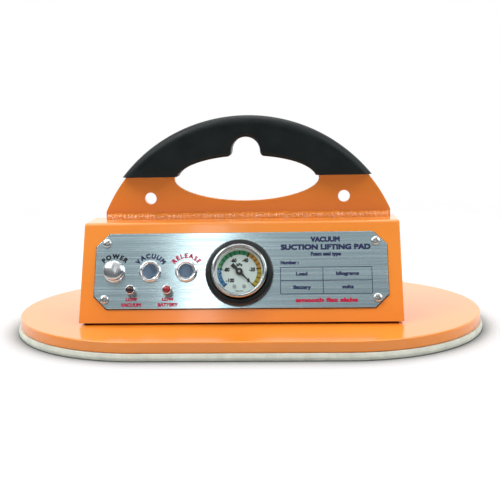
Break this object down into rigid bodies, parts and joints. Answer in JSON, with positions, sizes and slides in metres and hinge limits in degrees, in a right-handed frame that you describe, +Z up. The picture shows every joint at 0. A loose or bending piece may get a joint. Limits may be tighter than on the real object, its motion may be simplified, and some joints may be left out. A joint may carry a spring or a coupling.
{
  "type": "battery vacuum lifter",
  "caption": "Oval vacuum pad with a foam seal, a leaning control housing with gauge and push-buttons, and an arched carrying handle with a hook notch and rubber grip.",
  "frame": {"origin": "centre of the seal's lower face, where the pad rests on the load", "axes": "+X along the pad's length, to the operator's right; +Y across the pad, away from the operator; +Z up, out of the load's surface"},
  "size_m": [0.404, 0.244, 0.1818],
  "materials": {
    "orange_paint": "glossy orange powder coat",
    "seal_foam": "closed-cell sponge rubber, pale cream",
    "grip_rubber": "moulded rubber, satin black",
    "black_rubber": "plain black rubber",
    "panel_steel": "stainless sheet brushed along its length",
    "chrome_trim": "bright plated",
    "blued_caps": "satin blue-grey",
    "zinc_steel": "zinc-plated steel",
    "motor_steel": "plated steel can",
    "black_plastic": "moulded plastic, satin black",
    "battery_plastic": "moulded plastic, dark grey with a fine grain",
    "latch_plastic": "moulded plastic, red",
    "dial_white": "printed white dial",
    "window_glass": "flat clear glass",
    "lens_dark": "clear dark red lens, unlit",
    "lens_red": "clear red lens",
    "brass": "plain brass",
    "aluminium": "milled aluminium",
    "board_green": "green circuit board with its components"
  },
  "bodies": {
    "lifter": {"base_plate": "orange_paint", "housing_shell": "orange_paint", "handle_plate": "orange_paint", "weld_bead_front": "orange_paint", "weld_bead_rear": "orange_paint", "suction_seal": "seal_foam", "handle_grip": "grip_rubber", "housing_gasket": "black_rubber", "vacuum_hose": "black_rubber", "gauge_hose": "black_rubber", "face_plate": "panel_steel", "power_bezel": "chrome_trim", "vacuum_bezel": "chrome_trim", "release_bezel": "chrome_trim", "gauge_bezel": "chrome_trim", "low_vacuum_holder": "chrome_trim", "low_battery_holder": "chrome_trim", "face_screw_1": "zinc_steel", "face_screw_2": "zinc_steel", "face_screw_3": "zinc_steel", "face_screw_4": "zinc_steel", "base_screw_1": "zinc_steel", "base_screw_2": "zinc_steel", "base_screw_3": "zinc_steel", "base_screw_4": "zinc_steel", "dock_screw_1": "zinc_steel", "dock_screw_2": "zinc_steel", "power_nut": "zinc_steel", "vacuum_nut": "zinc_steel", "release_nut": "zinc_steel", "release_valve": "zinc_steel", "pump_motor": "motor_steel", "gauge_panel_ring": "black_plastic", "gauge_case": "black_plastic", "check_valve": "black_plastic", "vacuum_switch": "black_plastic", "pump_head": "black_plastic", "battery_dock": "black_plastic", "gauge_dial": "dial_white", "gauge_window": "window_glass", "low_vacuum_lens": "lens_dark", "low_battery_lens": "lens_red", "port_strainer": "brass", "gauge_bourdon_tube": "brass", "gauge_stem": "brass", "exhaust_silencer": "brass", "manifold_block": "aluminium", "pump_bracket": "aluminium", "control_board": "board_green"},
    "power_button": {"power_cap": "chrome_trim"},
    "vacuum_button": {"vacuum_cap": "blued_caps"},
    "release_button": {"release_cap": "blued_caps"},
    "needle": {"gauge_needle": "black_plastic"},
    "battery": {"battery_pack": "battery_plastic"},
    "latch": {"battery_latch": "latch_plastic"}
  },
  "joints": [
    {"name": "power_press", "type": "slide", "parent": "lifter", "child": "power_button", "axis": [0, 0.8967, -0.4425], "range_m": [0, 0.0016], "stiffness_N_per_m": 900},
    {"name": "vacuum_press", "type": "slide", "parent": "lifter", "child": "vacuum_button", "axis": [0, 0.8967, -0.4425], "range_m": [0, 0.0016], "stiffness_N_per_m": 900},
    {"name": "release_press", "type": "slide", "parent": "lifter", "child": "release_button", "axis": [0, 0.8967, -0.4425], "range_m": [0, 0.0016], "stiffness_N_per_m": 900},
    {"name": "needle_turn", "type": "hinge", "parent": "lifter", "child": "needle", "pos_m": [-0.0046, -0.05525, 0.05616], "axis": [0, -0.8967, 0.4425], "range_deg": [0, 270], "stiffness_Nm_per_rad": 0.002},
    {"name": "battery_slide", "type": "slide", "parent": "lifter", "child": "battery", "axis": [0, 0, 1], "range_m": [0, 0.058]},
    {"name": "latch_press", "type": "slide", "parent": "battery", "child": "latch", "axis": [0, -1, 0], "range_m": [0, 0.003], "stiffness_N_per_m": 700}
  ]
}
